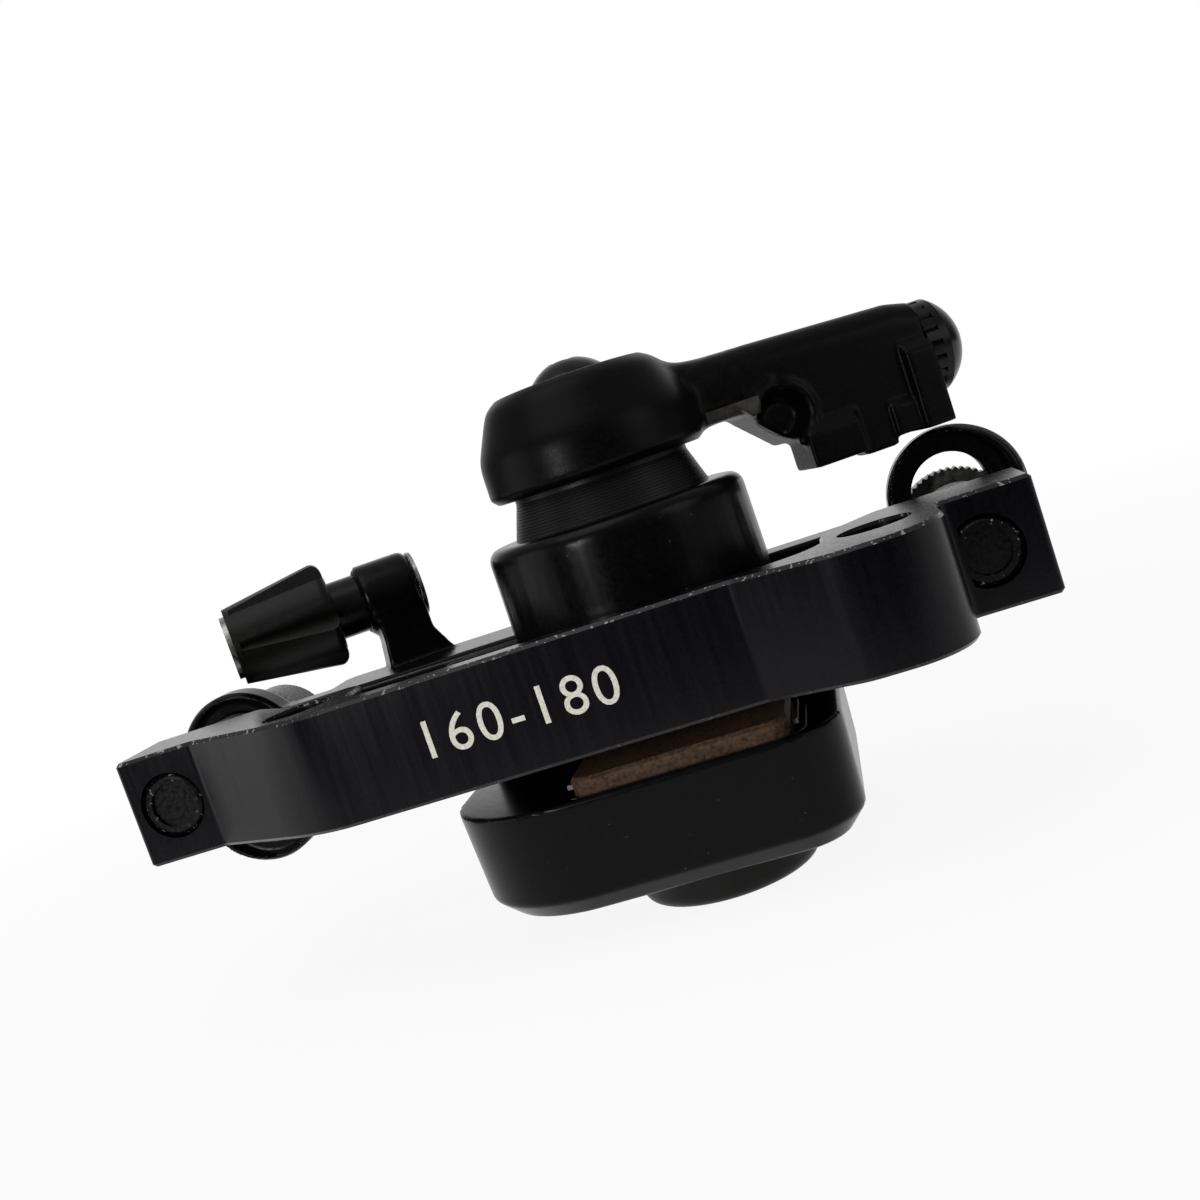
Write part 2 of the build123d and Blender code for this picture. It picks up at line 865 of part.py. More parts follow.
# Actuator shaft: flange with a ball groove, journal, and a square-shouldered neck
groove_r = ball_r + groove_gap
with BuildPart() as actuator_shaft:
    revolve(
        turned(
            [
                (0, flange_bottom),
                (flange_r, flange_bottom),
                (flange_r, flange_top),
                (shaft_r, flange_top),
                (shaft_r, shaft_neck_z),
                (shaft_neck_r, shaft_neck_z),
                (shaft_neck_r, shaft_top),
                (0, shaft_top),
            ]
        ),
        axis=Axis.Z,
    )
    with BuildSketch(Plane.XZ):
        with Locations((ball_ring_r, ball_z)):
            Circle(groove_r)
    revolve(axis=Axis.Z, mode=Mode.SUBTRACT)
    with BuildSketch(Plane.XY.offset(shaft_top)):
        Circle(lever_bolt_shank_r + thread_gap)
    extrude(amount=-lever_bolt_deep, mode=Mode.SUBTRACT)
save(actuator_shaft, "actuator_shaft")

# Balls, their cage and the ramp plate on the piston
with BuildPart() as ramp_balls:
    with Locations((0, 0, ball_z)):
        with PolarLocations(ball_ring_r, ball_count):
            Sphere(ball_r)
save(ramp_balls, "ramp_balls")

with BuildPart() as ball_cage:
    with BuildSketch(Plane.XY.offset(ball_z - cage_half)):
        Circle(cage_out_r)
        Circle(cage_in_r, mode=Mode.SUBTRACT)
        with PolarLocations(ball_ring_r, ball_count):
            Circle(groove_r, mode=Mode.SUBTRACT)
    extrude(amount=2 * cage_half)
save(ball_cage, "ball_cage")

with BuildPart() as ramp_plate:
    with BuildSketch(Plane.XY.offset(piston_top)):
        Circle(ramp_plate_r)
    extrude(amount=ramp_plate_top - piston_top)
    with BuildSketch(Plane.XZ):
        with Locations((ball_ring_r, ball_z)):
            Circle(groove_r)
    revolve(axis=Axis.Z, mode=Mode.SUBTRACT)
save(ramp_plate, "ramp_plate")

with BuildPart() as outer_piston:
    revolve(
        turned(
            [
                (0, piston_hollow_z),
                (piston_skirt_r, piston_hollow_z),
                (piston_skirt_r, piston_low),
                (bore_r - piston_fit, piston_low),
                (bore_r - piston_fit, piston_top),
                (0, piston_top),
            ]
        ),
        axis=Axis.Z,
    )
save(outer_piston, "outer_piston")

# Pads: a lining on a backing plate, each round behind and squared towards the hub
with BuildPart() as outer_pad_plate:
    extrude(pad_shape(Plane.XY.offset(outer_plate_low), pad_r), amount=plate_pad_thick)
save(outer_pad_plate, "outer_pad_plate")

with BuildPart() as outer_pad_lining:
    extrude(pad_shape(Plane.XY.offset(lining_near), lining_r), amount=lining_thick)
    chamfer(outer_pad_lining.faces().sort_by(Axis.Z)[0].edges(), length=lining_edge)
save(outer_pad_lining, "outer_pad_lining")

with BuildPart() as inner_pad_plate:
    extrude(pad_shape(Plane.XY.offset(-outer_plate_low), pad_r), amount=-plate_pad_thick)
save(inner_pad_plate, "inner_pad_plate")

with BuildPart() as inner_pad_lining:
    extrude(pad_shape(Plane.XY.offset(-lining_near), lining_r), amount=-lining_thick)
    chamfer(inner_pad_lining.faces().sort_by(Axis.Z)[-1].edges(), length=lining_edge)
save(inner_pad_lining, "inner_pad_lining")

# Inner pad's adjusting screw and its dial
with BuildPart() as inner_adjuster_screw:
    revolve(
        turned(
            [
                (0, screw_foot_top),
                (screw_foot_r, screw_foot_top),
                (screw_foot_r, screw_foot_top - screw_foot_thick),
                (screw_stem_r, screw_foot_top - screw_foot_thick),
                (screw_stem_r, screw_bottom),
                (screw_socket_r, screw_bottom),
                (screw_socket_r, screw_socket_top),
                (0, screw_socket_top),
            ]
        ),
        axis=Axis.Z,
    )
save(inner_adjuster_screw, "inner_adjuster_screw")

with BuildPart() as inner_adjuster_knob:
    revolve(
        turned(
            [
                (0, dial_bottom),
                (dial_r, dial_bottom),
                (dial_r, dial_top),
                (dial_stem_r, dial_top),
                (dial_stem_r, dial_ring_z - dial_ring_half),
                (dial_stem_r - dial_ring_deep, dial_ring_z - dial_ring_half),
                (dial_stem_r - dial_ring_deep, dial_ring_z + dial_ring_half),
                (dial_stem_r, dial_ring_z + dial_ring_half),
                (dial_stem_r, dial_stem_top),
                (0, dial_stem_top),
            ]
        ),
        axis=Axis.Z,
    )
    fillet(inner_adjuster_knob.faces().sort_by(Axis.Z)[0].edges(), radius=dial_edge)
    with BuildSketch(Plane.XY.offset(dial_bottom)):
        RegularPolygon(dial_hex / 2, 6, major_radius=False)
    extrude(amount=dial_hex_deep, mode=Mode.SUBTRACT)
save(inner_adjuster_knob, "inner_adjuster_knob")

with BuildPart() as dial_friction_ring:
    revolve(
        turned(
            [
                (dial_stem_r - dial_ring_deep, dial_ring_z - dial_ring_half),
                (screw_socket_r - seat_gap, dial_ring_z - dial_ring_half),
                (screw_socket_r - seat_gap, dial_ring_z + dial_ring_half),
                (dial_stem_r - dial_ring_deep, dial_ring_z + dial_ring_half),
            ]
        ),
        axis=Axis.Z,
    )
save(dial_friction_ring, "dial_friction_ring")

# Lever: turned head, neck and the arm with its feet and flange
head_points = [
    (shaft_neck_r, hub_bottom),
    (hub_r, hub_bottom),
    (hub_r, cavity_top),
    (lip_in_r, cavity_top),
    (lip_in_r, lip_bottom),
    (lip_out_r, lip_bottom),
    (head_r, head_low),
    (head_r, head_high),
    (shoulder_low_r, shoulder_low_z),
    (shoulder_top_r, head_top),
    (shaft_neck_r, head_top),
]
arm_points = [
    (neck_root, neck_root_z),
    (neck_top_s, neck_top_z),
    (arm_end_s, arm_end_z),
    (tip_s, tip_top_z),
    (tip_s, arm_low_z),
    (block_s, arm_low_z),
    (slope_s, neck_low_z),
    (neck_low_s, neck_low_z),
    (neck_low_s, cavity_top),
    (neck_root, cavity_top),
]


def arm_block(start_s, end_s, low_z, high_z, near, far):
    """A foot under the arm, from near to far across it, its upper near edge sloped."""
    section = [(-near, low_z), (-far, low_z), (-far, high_z)]
    if -near > arm_half:
        section += [(-near - foot_bevel, high_z), (-near, high_z - foot_bevel)]
    else:
        section += [(-near, high_z)]
    across = Plane(origin=lever_dir * start_s, x_dir=lever_side, z_dir=-lever_dir)
    return extrude(outline(across, section), amount=start_s - end_s, mode=Mode.PRIVATE)


with BuildPart() as lever_arm:
    extrude(outline(lever_plane, arm_points), amount=arm_half, both=True)
    long_edges = lever_arm.edges().filter_by(
        lambda edge: abs((edge % 0).dot(lever_side)) < seat_gap
        and abs((edge % 0).Z) < sin(radians(45))
        and edge.center().dot(lever_dir) > (neck_root + neck_low_s) / 2 + seat_gap
        and edge.center().Z > (tip_top_z + neck_low_z) / 2
    )
    fillet(long_edges, radius=arm_soft)
    neck_edges = lever_arm.edges().filter_by(
        lambda edge: abs(edge.center().Z - neck_low_z) < seat_gap
        and edge.center().dot(lever_side) > arm_half - seat_gap
    )
    chamfer(neck_edges, length=neck_bevel)
    block_top_z = arm_low_z + cut_over
    add(
        arm_block(
            foot_start_s, foot_end_s, foot_low_z, foot_top_z, foot_side_near, foot_side_far
        )
    )
    add(arm_block(foot_end_s, tab_end_s, tab_low_z, block_top_z, tab_side_near, tab_side_far))
    add(arm_block(tab_end_s, rib_end_s, rib_low_z, block_top_z, rib_side_near, rib_side_far))
    add(
        arm_block(rib_end_s, tip_s, flange_low_z, flange_top_z, flange_side_near, arm_half)
    )
    revolve(turned(head_points), axis=Axis.Z)
    revolve(
        turned(
            [
                (hub_r, lip_bottom - cut_over),
                (lip_in_r, lip_bottom - cut_over),
                (lip_in_r, cavity_top),
                (hub_r, cavity_top),
            ]
        ),
        axis=Axis.Z,
        mode=Mode.SUBTRACT,
    )
    with BuildSketch(
        Plane(origin=lever_side * arm_half, x_dir=lever_dir, z_dir=lever_side)
    ):
        with Locations((scoop_s, scoop_z)):
            Circle(scoop_r)
    extrude(amount=-scoop_deep, mode=Mode.SUBTRACT)
    with BuildSketch(
        Plane(origin=lever_dir * tip_s + Vector(0, 0, anchor_z), z_dir=lever_dir)
    ):
        Circle(anchor_thread_r + thread_gap)
    extrude(amount=-anchor_thread_deep - cut_over, mode=Mode.SUBTRACT)
    with BuildSketch(Plane.XY.offset(lip_bottom)):
        Circle(shaft_neck_r + thread_gap)
    extrude(amount=head_top - lip_bottom, mode=Mode.SUBTRACT)
save(lever_arm, "lever_arm")

# Domed bolt on the lever's head
dome_sphere_r = (lever_bolt_r**2 + lever_bolt_high**2) / (2 * lever_bolt_high)
with BuildPart() as lever_bolt:
    with BuildSketch(Plane.XZ):
        with BuildLine():
            Line((0, shaft_top - lever_bolt_deep + cut_over), (0, head_top + lever_bolt_high))
            RadiusArc(
                (0, head_top + lever_bolt_high), (lever_bolt_r, head_top), dome_sphere_r
            )
            Line((lever_bolt_r, head_top), (lever_bolt_r, shaft_top + seat_gap))
            Line((lever_bolt_r, shaft_top + seat_gap), (lever_bolt_shank_r, shaft_top + seat_gap))
            Line(
                (lever_bolt_shank_r, shaft_top + seat_gap),
                (lever_bolt_shank_r, shaft_top - lever_bolt_deep + cut_over),
            )
            Line(
                (lever_bolt_shank_r, shaft_top - lever_bolt_deep + cut_over),
                (0, shaft_top - lever_bolt_deep + cut_over),
            )
        make_face()
    revolve(axis=Axis.Z)
    with BuildSketch(Plane.XY.offset(head_top + lever_bolt_high)):
        RegularPolygon(lever_bolt_socket / 2, 6, major_radius=False)
    extrude(amount=-lever_bolt_socket_deep, mode=Mode.SUBTRACT)
save(lever_bolt, "lever_bolt")

# Cable anchor: serrated washer and a domed bolt along the arm's axis
anchor_origin = Vector(0, 0, anchor_z)
anchor_plane = Plane(origin=anchor_origin, x_dir=lever_dir, z_dir=lever_side)
anchor_face = Plane(
    origin=anchor_origin + lever_dir * tip_s, x_dir=lever_side, z_dir=lever_dir
)
with BuildPart() as anchor_washer:
    with BuildSketch(anchor_face):
        Circle(anchor_washer_r)
        with PolarLocations(anchor_washer_r, anchor_washer_teeth):
            Rectangle(
                2 * anchor_tooth_deep, 2 * anchor_tooth_deep, rotation=45, mode=Mode.SUBTRACT
            )
        Circle(anchor_thread_r + run_gap, mode=Mode.SUBTRACT)
    extrude(amount=anchor_washer_thick)
save(anchor_washer, "anchor_washer")

anchor_head_s = tip_s + anchor_washer_thick
anchor_dome_s = anchor_head_s + anchor_head_straight
anchor_end_s = anchor_head_s + anchor_head_high
anchor_dome_high = anchor_end_s - anchor_dome_s
anchor_dome_r = (anchor_head_r**2 + anchor_dome_high**2) / (2 * anchor_dome_high)
with BuildPart() as anchor_bolt:
    with BuildSketch(anchor_plane):
        with BuildLine():
            Polyline(
                (anchor_end_s, 0),
                (tip_s - anchor_thread_deep, 0),
                (tip_s - anchor_thread_deep, anchor_thread_r),
                (anchor_head_s, anchor_thread_r),
                (anchor_head_s, anchor_head_r),
                (anchor_dome_s, anchor_head_r),
            )
            RadiusArc((anchor_dome_s, anchor_head_r), (anchor_end_s, 0), anchor_dome_r)
        make_face()
    revolve(axis=anchor_axis)
    with BuildSketch(anchor_face.offset(anchor_end_s - tip_s)):
        RegularPolygon(anchor_socket / 2, 6, major_radius=False)
    extrude(amount=-anchor_socket_deep, mode=Mode.SUBTRACT)
save(anchor_bolt, "anchor_bolt")

# Cable adjuster: grooved knob on a threaded barrel, with a bright ferrule in its mouth
knob_bore_r = ferrule_r + run_gap


def stop_face(along, turn):
    """A plane square to the adjuster's axis, its first direction turned from +Z."""
    first = Vector(0, 0, 1) * cos(radians(turn)) + stop_side * sin(radians(turn))
    return Plane(origin=stop_origin + stop_dir * along, x_dir=first, z_dir=stop_dir)


def groove_face(along, surface_r, half_wide, deep, turn):
    """The V of one groove in the knob, at a distance along its axis."""
    points = [
        (surface_r - deep, 0),
        (surface_r + deep, 2 * half_wide),
        (surface_r + deep, -2 * half_wide),
    ]
    return outline(stop_face(along, turn), points)


with BuildPart() as adjuster_knob:
    revolve(
        along_stop(
            [
                (knob_start, knob_bore_r),
                (knob_start, knob_thin_r),
                (knob_end, knob_wide_r),
                (knob_end, barrel_head_r),
                (barrel_head_start, barrel_head_r),
                (barrel_head_start, knob_bore_r),
            ]
        ),
        axis=stop_axis,
    )
    wide_rim = adjuster_knob.edges().filter_by(GeomType.CIRCLE).sort_by(SortBy.RADIUS)[-1]
    fillet(wide_rim, radius=knob_round)
    for lobe in range(knob_lobes):
        groove_turn = 360 / knob_lobes * (lobe + 1 / 2)
        loft(
            [
                groove_face(
                    knob_start + knob_groove_start,
                    knob_thin_r,
                    knob_groove_thin,
                    knob_groove_thin,
                    groove_turn,
                ),
                groove_face(
                    knob_end + cut_over,
                    knob_wide_r,
                    knob_groove_wide,
                    knob_groove_deep,
                    groove_turn,
                ),
            ],
            mode=Mode.SUBTRACT,
        )
save(adjuster_knob, "adjuster_knob")

with BuildPart() as adjuster_barrel:
    revolve(
        along_stop(
            [
                (barrel_head_start, barrel_bore_r),
                (barrel_head_start, barrel_head_r),
                (knob_end, barrel_head_r),
                (knob_end, stop_thread_r),
                (boss_end, stop_thread_r),
                (boss_end, barrel_bore_r),
            ]
        ),
        axis=stop_axis,
    )
save(adjuster_barrel, "adjuster_barrel")

ferrule_end = barrel_head_start - run_gap
with BuildPart() as cable_ferrule:
    revolve(
        along_stop(
            [
                (ferrule_start, ferrule_bore_r),
                (ferrule_start, ferrule_lip_r),
                (ferrule_lip_end - run_gap, ferrule_lip_r),
                (ferrule_lip_end - run_gap, ferrule_r),
                (ferrule_end, ferrule_r),
                (ferrule_end, barrel_bore_r),
                (ferrule_end - ferrule_floor, barrel_bore_r),
                (ferrule_end - ferrule_floor, ferrule_bore_r),
            ]
        ),
        axis=stop_axis,
    )
save(cable_ferrule, "cable_ferrule")

# Pad spring: two flat bows round the linings, joined by a web beyond the rotor's edge
with BuildPart() as pad_spring:
    for bow_z in (clip_upper_z, clip_lower_z):
        with BuildSketch(Plane.XY.offset(bow_z)):
            add(pad_shape(Plane.XY, clip_out_r))
            add(pad_shape(Plane.XY, clip_in_r), mode=Mode.SUBTRACT)
            with Locations((0, clip_open_y - clip_out_r)):
                Rectangle(2 * clip_out_r, 2 * clip_out_r, mode=Mode.SUBTRACT)
        extrude(amount=clip_thick)
    with BuildSketch(Plane.XY.offset(clip_lower_z)):
        Circle(clip_out_r)
        Circle(clip_in_r, mode=Mode.SUBTRACT)
        with Locations((0, clip_joint_y - clip_out_r)):
            Rectangle(2 * clip_out_r, 2 * clip_out_r, mode=Mode.SUBTRACT)
    extrude(amount=clip_upper_z - clip_lower_z)
save(pad_spring, "pad_spring")
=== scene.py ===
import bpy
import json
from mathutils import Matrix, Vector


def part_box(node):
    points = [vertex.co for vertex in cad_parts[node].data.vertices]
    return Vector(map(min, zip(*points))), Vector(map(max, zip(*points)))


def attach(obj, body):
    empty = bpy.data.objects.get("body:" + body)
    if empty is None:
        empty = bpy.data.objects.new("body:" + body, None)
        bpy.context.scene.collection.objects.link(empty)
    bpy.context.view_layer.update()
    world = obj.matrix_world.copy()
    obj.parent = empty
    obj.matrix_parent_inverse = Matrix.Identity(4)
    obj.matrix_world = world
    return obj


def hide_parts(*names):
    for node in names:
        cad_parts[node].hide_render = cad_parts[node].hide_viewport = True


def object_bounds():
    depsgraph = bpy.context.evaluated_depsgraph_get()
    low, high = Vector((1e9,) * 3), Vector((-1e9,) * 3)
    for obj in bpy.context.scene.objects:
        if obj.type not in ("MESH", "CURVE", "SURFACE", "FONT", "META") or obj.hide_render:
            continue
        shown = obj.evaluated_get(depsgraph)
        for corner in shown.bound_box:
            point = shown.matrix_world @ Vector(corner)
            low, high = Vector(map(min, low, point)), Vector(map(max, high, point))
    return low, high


bl_info = {
    "name": "Disc Brake Caliper",
    "version": (1, 0, 0),
    "blender": (4, 5, 0),
    "location": "View3D > Sidebar > Caliper",
    "description": "Dresses the packed disc brake caliper: castings, finishes, marking and studio",
    "category": "Object",
}

import json
import math

import bmesh
import bpy
from bpy.props import FloatProperty, FloatVectorProperty, StringProperty
from mathutils import Matrix, Vector

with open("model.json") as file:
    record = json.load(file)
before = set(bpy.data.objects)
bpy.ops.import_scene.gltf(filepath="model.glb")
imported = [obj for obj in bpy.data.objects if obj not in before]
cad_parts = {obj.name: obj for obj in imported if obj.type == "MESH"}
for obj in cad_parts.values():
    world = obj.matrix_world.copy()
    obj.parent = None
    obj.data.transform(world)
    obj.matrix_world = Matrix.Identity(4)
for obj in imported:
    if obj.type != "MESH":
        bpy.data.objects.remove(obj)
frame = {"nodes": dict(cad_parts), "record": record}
cad_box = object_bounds()
MM = 0.001

# Where wear and painted light show, in millimetres: the bracket's edges and the bolts' tips
PLATE_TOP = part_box("mount_bracket")[1].z / MM
PLATE_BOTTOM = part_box("mount_bracket")[0].z / MM
TIP_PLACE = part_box("mounting_bolts")[0].y / MM
EDGE_WIDE = 0.3
TOP_EXTRA = 0.02
FACE_GAP = 0.01

# The lever's pale underside under the neck, a painted reflection of the floor:
# height, and distance from the head's axis
NECK_SHEEN_UP = (22.9, 24.4)
NECK_SHEEN_OUT = (10.4, 15.2)

# The lever's turn from +X, and its front face. Places on the lever are given in its own
# directions: along the arm, towards the hub, and up
LEVER_TURN = math.radians(20)
ARM_FACE = 4.0

# The lever's hollow: its middle, how wide it is pressed and how deep
HOLLOW = (16.4, 3.0, 22.0)
HOLLOW_REACH = 2.05
HOLLOW_PRESS = 1.0

# The arc round the hollow: its radius, the turns of its beads, their sink and radius
ARC_R = 2.75
ARC_TURNS = range(-75, 66, 7)
ARC_SINK = 0.05
ARC_BEAD_R = 0.42

# The short rib above it: its start from the hollow's middle and its step, along and up
RIB_START = (-2.7, 2.5)
RIB_STEP = (0.3, 0.1)
RIB_COUNT = 9
RIB_SINK = 0.1
RIB_BEAD_R = 0.36

# Rubbed places of the lever: the middle, then each reach with its rounds
RUBBED_PLACES = (
    ((9.5, 0.0, 27.5), ((6.2, 20), (5.0, 40), (3.6, 40))),
    ((HOLLOW[0], ARM_FACE, HOLLOW[2]), ((3.2, 12), (2.6, 20))),
)

# The rubbed head: distances from its axis, lowest height and rounds
HEAD_BAND = (6.9, 10.2)
HEAD_LOW = 23.6
HEAD_ROUNDS = 60

# The ears' dishes: depth each side of their floor that is pressed, distance in from the
# washers' outer ends, and the press
DISH_REACH = 0.4
DISH_WIDE = 10.2
DISH_PRESS = 0.25

# How castings are joined at their corners, softened, rubbed and shaded
JOIN_REACH = 0.0005
SOFTEN_FACTOR = 0.5
SOFTEN_ROUNDS = 6
RUB_FACTOR = 0.5
SHARP_ANGLE = math.radians(40)

# The values between which a noise pattern mostly lies
NOISE_RANGE = (0.3, 0.7)


def srgb(hex_code):
    """A linear colour from an sRGB hex value."""
    whole = int(hex_code.lstrip("#"), 16)
    parts = [(whole >> shift & 255) / 255 for shift in (16, 8, 0)]
    return tuple(p / 12.92 if p <= 0.04045 else ((p + 0.055) / 1.055) ** 2.4 for p in parts) + (1.0,)


def per_metre(size_mm):
    """A pattern scale from the real size of its features in millimetres."""
    return 1.0 / (size_mm * MM)


def add_node(tree, kind, values=None, links=None, **settings):
    """Adds a shader node with its settings, socket values and incoming links."""
    made = tree.nodes.new(kind)
    for name, value in settings.items():
        setattr(made, name, value)
    for name, value in (values or {}).items():
        made.inputs[name].default_value = value
    for name, socket in (links or {}).items():
        tree.links.new(socket, made.inputs[name])
    return made


def begin(name, hex_code, metallic, roughness, specular=0.5):
    """A material with its shader set, and its Object coordinates."""
    made = bpy.data.materials.new(name)
    made.use_nodes = True
    tree = made.node_tree
    shader = tree.nodes["Principled BSDF"]
    shader.inputs["Base Color"].default_value = srgb(hex_code)
    shader.inputs["Metallic"].default_value = metallic
    shader.inputs["Roughness"].default_value = roughness
    shader.inputs["Specular IOR Level"].default_value = specular
    made.diffuse_color = srgb(hex_code)
    coords = add_node(tree, "ShaderNodeTexCoord").outputs["Object"]
    return made, tree, shader, coords


def noise(tree, coords, size_mm, detail=4.0, stretch=None):
    """A noise pattern of a real size, pulled out along an axis where stretch says so."""
    if stretch:
        coords = add_node(
            tree, "ShaderNodeMapping", {"Scale": stretch}, {"Vector": coords}
        ).outputs["Vector"]
    return add_node(
        tree,
        "ShaderNodeTexNoise",
        {"Scale": per_metre(size_mm), "Detail": detail},
        {"Vector": coords},
    ).outputs["Fac"]


def combine(tree, first, second, operation="MULTIPLY"):
    """Two patterns, or a pattern and a number, put together."""
    if isinstance(second, float):
        made = add_node(tree, "ShaderNodeMath", {1: second}, {0: first}, operation=operation)
    else:
        made = add_node(tree, "ShaderNodeMath", links={0: first, 1: second}, operation=operation)
    return made.outputs["Value"]


def between(tree, value, low_mm, high_mm):
    """A mask that is 1 where a length lies between two limits."""
    middle = (low_mm + high_mm) / 2 * MM
    half = (high_mm - low_mm) / 2 * MM
    made = add_node(
        tree, "ShaderNodeMath", {1: middle, 2: half}, {0: value}, operation="COMPARE"
    )
    return made.outputs["Value"]


def band(tree, coords, axis, low_mm, high_mm):
    """A mask that is 1 between two places along an axis."""
    along = add_node(tree, "ShaderNodeSeparateXYZ", links={"Vector": coords}).outputs[axis]
    return between(tree, along, low_mm, high_mm)


def ring(tree, coords, low_mm, high_mm):
    """A mask that is 1 between two distances from the head's axis."""
    flat = add_node(
        tree, "ShaderNodeVectorMath", {1: (1.0, 1.0, 0.0)}, {0: coords}, operation="MULTIPLY"
    )
    out = add_node(
        tree, "ShaderNodeVectorMath", links={0: flat.outputs["Vector"]}, operation="LENGTH"
    )
    return between(tree, out.outputs["Value"], low_mm, high_mm)


def shades(tree, fac, dark_hex, light_hex):
    """Two shades over a noise pattern."""
    ramp = add_node(tree, "ShaderNodeValToRGB", links={"Fac": fac})
    for element, place, code in zip(
        ramp.color_ramp.elements, NOISE_RANGE, (dark_hex, light_hex)
    ):
        element.position = place
        element.color = srgb(code)
    return ramp.outputs["Color"]


def over(tree, mask, under, hex_code):
    """Another colour over a shade where the mask is 1."""
    made = add_node(
        tree,
        "ShaderNodeMix",
        {7: srgb(hex_code)},
        {0: mask, 6: under},
        data_type="RGBA",
    )
    return made.outputs[2]


def carry(tree, value, taken, given=(0.0, 1.0)):
    """A value carried over from one range to another."""
    made = add_node(
        tree,
        "ShaderNodeMapRange",
        {"From Min": taken[0], "From Max": taken[1], "To Min": given[0], "To Max": given[1]},
        {"Value": value},
    )
    return made.outputs["Result"]


def vary(tree, shader, socket, fac, low, high):
    """Spreads a shader value between two limits over a noise pattern."""
    tree.links.new(carry(tree, fac, NOISE_RANGE, (low, high)), shader.inputs[socket])


def blend(tree, share, first, second):
    """Two shaders mixed by a share of the second."""
    made = add_node(tree, "ShaderNodeMixShader", links={0: share, 1: first, 2: second})
    return made.outputs[0]


def colour(tree, shader, shade):
    """Gives the shader a shade as its base colour."""
    tree.links.new(shade, shader.inputs["Base Color"])


def emboss(tree, shader, height, strength, depth_mm):
    """Raises a pattern on the surface by a real depth."""
    bump = add_node(
        tree,
        "ShaderNodeBump",
        {"Strength": strength, "Distance": depth_mm * MM},
        {"Height": height},
    )
    tree.links.new(bump.outputs["Normal"], shader.inputs["Normal"])


def anodised_plate():
    """Milled 6061 aluminium, black anodised: a violet cast, fine upright cutter lines
    and pale specks where the coat has come off the edges. The whole top edge is also drawn
    lighter, a painted highlight; the bottom edge's specks are a darker grey than the top's."""
    made, tree, shader, coords = begin(
        "Milled aluminium, black anodised", "#06050a", 0.0, 0.25, 0.17
    )
    lines = noise(tree, coords, 0.5, 3.0, (1.0, 1.0, 0.04))
    grain = noise(tree, coords, 0.3)
    cast = shades(tree, grain, "#020203", "#0b0810")
    top = band(tree, coords, "Z", PLATE_TOP - EDGE_WIDE - TOP_EXTRA, PLATE_TOP - FACE_GAP)
    bottom = band(tree, coords, "Z", PLATE_BOTTOM + FACE_GAP, PLATE_BOTTOM + EDGE_WIDE)
    specks = noise(tree, coords, 0.4, 6.0)
    worn_top = combine(tree, top, combine(tree, specks, 0.61, "GREATER_THAN"))
    worn_bottom = combine(tree, bottom, combine(tree, specks, 0.64, "GREATER_THAN"))
    # Painted highlight: the whole top edge band is drawn lighter, as if lit from above
    cast = over(tree, top, cast, "#211f20")
    cast = over(tree, worn_top, cast, "#8a877e")
    cast = over(tree, worn_bottom, cast, "#44433f")
    colour(tree, shader, cast)
    vary(tree, shader, "Roughness", lines, 0.21, 0.28)
    emboss(tree, shader, combine(tree, lines, grain, "ADD"), 0.04, 0.01)
    return made


def coated_casting():
    """Die-cast aluminium under a black coat: soft gloss over a faint orange peel, with dust."""
    made, tree, shader, coords = begin(
        "Die-cast aluminium, black coat", "#040505", 0.0, 0.24, 0.1
    )
    peel = noise(tree, coords, 1.3, 3.0)
    dust = noise(tree, coords, 0.45, 5.0)
    shade = shades(tree, dust, "#030404", "#080908")
    shade = over(tree, combine(tree, dust, 0.74, "GREATER_THAN"), shade, "#3c3d3a")
    colour(tree, shader, shade)
    vary(tree, shader, "Roughness", dust, 0.21, 0.27)
    emboss(tree, shader, peel, 0.1, 0.04)
    return made


def forged_lever():
    """Forged aluminium, satin black anodised: a dull sheen with a fine blasted grain,
    and a painted pale reflection of the white floor under the neck."""
    made, tree, shader, coords = begin(
        "Forged aluminium, satin black", "#050505", 0.0, 0.34, 0.08
    )
    grain = noise(tree, coords, 0.3, 5.0)
    under = combine(
        tree,
        band(tree, coords, "Z", *NECK_SHEEN_UP),
        ring(tree, coords, *NECK_SHEEN_OUT),
    )
    # Painted reflection: the neck's underside is painted pale grey, as if lit by the white floor
    neck_sheen = combine(tree, under, combine(tree, grain, 0.35, "ADD"))
    shade = shades(tree, grain, "#030303", "#080708")
    colour(tree, shader, over(tree, neck_sheen, shade, "#4a4842"))
    vary(tree, shader, "Roughness", grain, 0.3, 0.4)
    emboss(tree, shader, grain, 0.15, 0.02)
    return made


def turned_collar():
    """Turned aluminium, black anodised: rings round the axis catch the light."""
    made, tree, shader, coords = begin(
        "Turned aluminium, black anodised", "#080908", 0.0, 0.38, 0.18
    )
    rings = noise(tree, coords, 1.2, 2.0, (0.03, 0.03, 6.0))
    colour(tree, shader, shades(tree, rings, "#060706", "#0e0f0d"))
    emboss(tree, shader, rings, 0.3, 0.02)
    return made


def oxide_steel():
    """Forged steel, black oxide and oil: smooth, with slightly brighter spots."""
    made, tree, shader, coords = begin("Forged steel, black oxide", "#060707", 0.0, 0.24, 0.16)
    blotch = noise(tree, coords, 1.4)
    colour(tree, shader, shades(tree, blotch, "#050606", "#0e0f0e"))
    vary(tree, shader, "Roughness", blotch, 0.18, 0.34)
    emboss(tree, shader, blotch, 0.2, 0.03)
    return made


